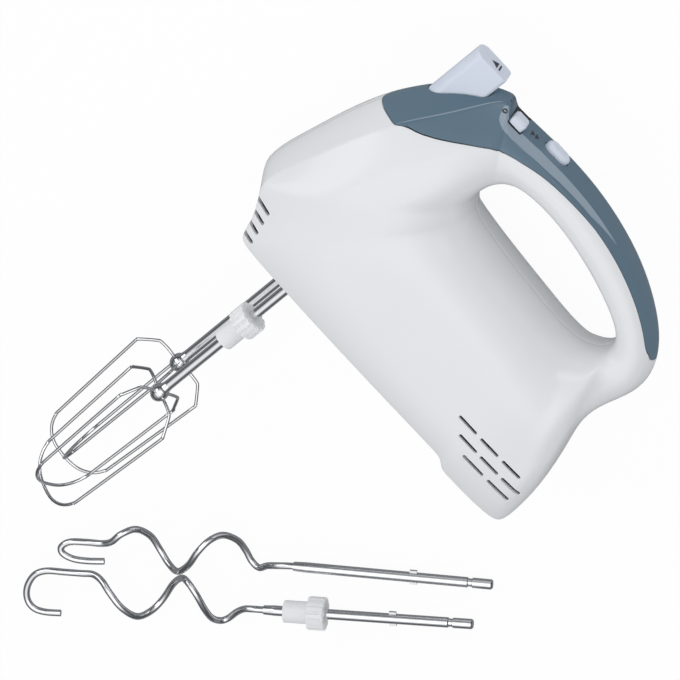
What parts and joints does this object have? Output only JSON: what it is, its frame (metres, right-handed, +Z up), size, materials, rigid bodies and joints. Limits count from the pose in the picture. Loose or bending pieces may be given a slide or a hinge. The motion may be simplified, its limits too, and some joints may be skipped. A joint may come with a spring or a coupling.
{
  "type": "electric hand mixer",
  "caption": "Hand mixer lying on its side, with handle loop, slide control, boost and release buttons, wire beaters fitted and twisted wire dough hooks beside it.",
  "frame": {"origin": "centre of the bounding box at the surface the set lies on; the mixer lies on its right side with the hooks in front of its beaters", "axes": "+X from the mixer's nose to its rear, +Y from the beaters' tips to the top of the handle, +Z up from the surface, towards the mixer's left side"},
  "size_m": [0.2775, 0.4483, 0.092],
  "materials": {
    "white_plastic": "gloss",
    "pale_blue_plastic": "gloss",
    "slate_blue_plastic": "gloss",
    "dark_plastic": "satin",
    "yellow_plastic": "satin",
    "brass": "satin",
    "copper": "satin",
    "lamination_steel": "matte",
    "carbon": "matte",
    "steel": "brushed",
    "chrome": "polished"
  },
  "bodies": {
    "mixer_body": {"left_housing": "white_plastic", "right_housing": "white_plastic", "top_cover": "slate_blue_plastic", "eject_spring": "steel", "speed_switch": "dark_plastic", "turbo_spring": "steel", "turbo_switch": "dark_plastic", "housing_screws": "steel", "cord_bushing": "dark_plastic", "terminal_block": "white_plastic", "suppression_capacitor": "yellow_plastic", "gear_frame": "white_plastic", "left_bush": "white_plastic", "right_bush": "white_plastic", "left_washer": "steel", "right_washer": "steel", "front_bearing": "steel", "rear_bearing": "steel", "front_bracket": "steel", "rear_bracket": "steel", "stator_core": "lamination_steel", "upper_field_coil": "copper", "lower_field_coil": "copper", "brush_holders": "brass", "carbon_brushes": "carbon", "brush_springs": "steel", "motor_screws": "steel"},
    "motor": {"worm": "brass", "motor_shaft": "steel", "armature_core": "lamination_steel", "armature_winding": "copper", "commutator": "copper", "cooling_fan": "white_plastic"},
    "left_drive": {"left_spindle": "steel", "left_gear": "white_plastic"},
    "right_drive": {"right_spindle": "steel", "right_gear": "white_plastic"},
    "left_beater": {"left_beater_shaft": "chrome", "left_beater_collar": "white_plastic", "left_beater_outer_loop": "chrome", "left_beater_inner_loop": "chrome"},
    "right_beater": {"right_beater_shaft": "chrome", "right_beater_outer_loop": "chrome", "right_beater_inner_loop": "chrome"},
    "eject_control": {"eject_button": "pale_blue_plastic", "eject_pusher": "white_plastic"},
    "speed_control": {"speed_slider": "pale_blue_plastic"},
    "turbo_control": {"turbo_button": "pale_blue_plastic"},
    "plain_hook": {"plain_hook_shaft": "chrome", "plain_hook_wire": "chrome"},
    "collar_hook": {"collar_hook_shaft": "chrome", "collar_hook_collar": "white_plastic", "collar_hook_wire": "chrome"}
  },
  "joints": [
    {"name": "motor_spin", "type": "hinge", "parent": "mixer_body", "child": "motor", "pos_m": [-0.015, 0.106, 0.046], "axis": [1, 0, 0], "continuous": true},
    {"name": "left_spindle_spin", "type": "hinge", "parent": "mixer_body", "child": "left_drive", "pos_m": [-0.0775, 0.082, 0.067], "axis": [0, 1, 0], "continuous": true},
    {"name": "right_spindle_spin", "type": "hinge", "parent": "mixer_body", "child": "right_drive", "pos_m": [-0.0775, 0.082, 0.025], "axis": [0, 1, 0], "continuous": true},
    {"name": "left_beater_release", "type": "slide", "parent": "left_drive", "child": "left_beater", "axis": [0, -1, 0], "range_m": [0, 0.06]},
    {"name": "right_beater_release", "type": "slide", "parent": "right_drive", "child": "right_beater", "axis": [0, -1, 0], "range_m": [0, 0.06]},
    {"name": "eject_press", "type": "slide", "parent": "mixer_body", "child": "eject_control", "axis": [0, -1, 0], "range_m": [0, 0.006], "stiffness_N_per_m": 600, "springref_m": -0.004, "deforming": ["eject_spring"]},
    {"name": "speed_slide", "type": "slide", "parent": "mixer_body", "child": "speed_control", "axis": [0, 0, -1], "range_m": [0, 0.013]},
    {"name": "turbo_press", "type": "slide", "parent": "mixer_body", "child": "turbo_control", "axis": [0, -1, 0], "range_m": [0, 0.002], "stiffness_N_per_m": 400, "springref_m": -0.002, "deforming": ["turbo_spring"]},
    {"name": "plain_hook_lift", "type": "slide", "parent": "mixer_body", "child": "plain_hook", "axis": [0, 0, 1], "range_m": [0, 0.1]},
    {"name": "collar_hook_lift", "type": "slide", "parent": "mixer_body", "child": "collar_hook", "axis": [0, 0, 1], "range_m": [0, 0.1]}
  ],
  "couplings": [
    {"joint": "left_spindle_spin", "follows": "motor_spin", "ratio": 0.041667},
    {"joint": "right_spindle_spin", "follows": "motor_spin", "ratio": -0.041667}
  ]
}
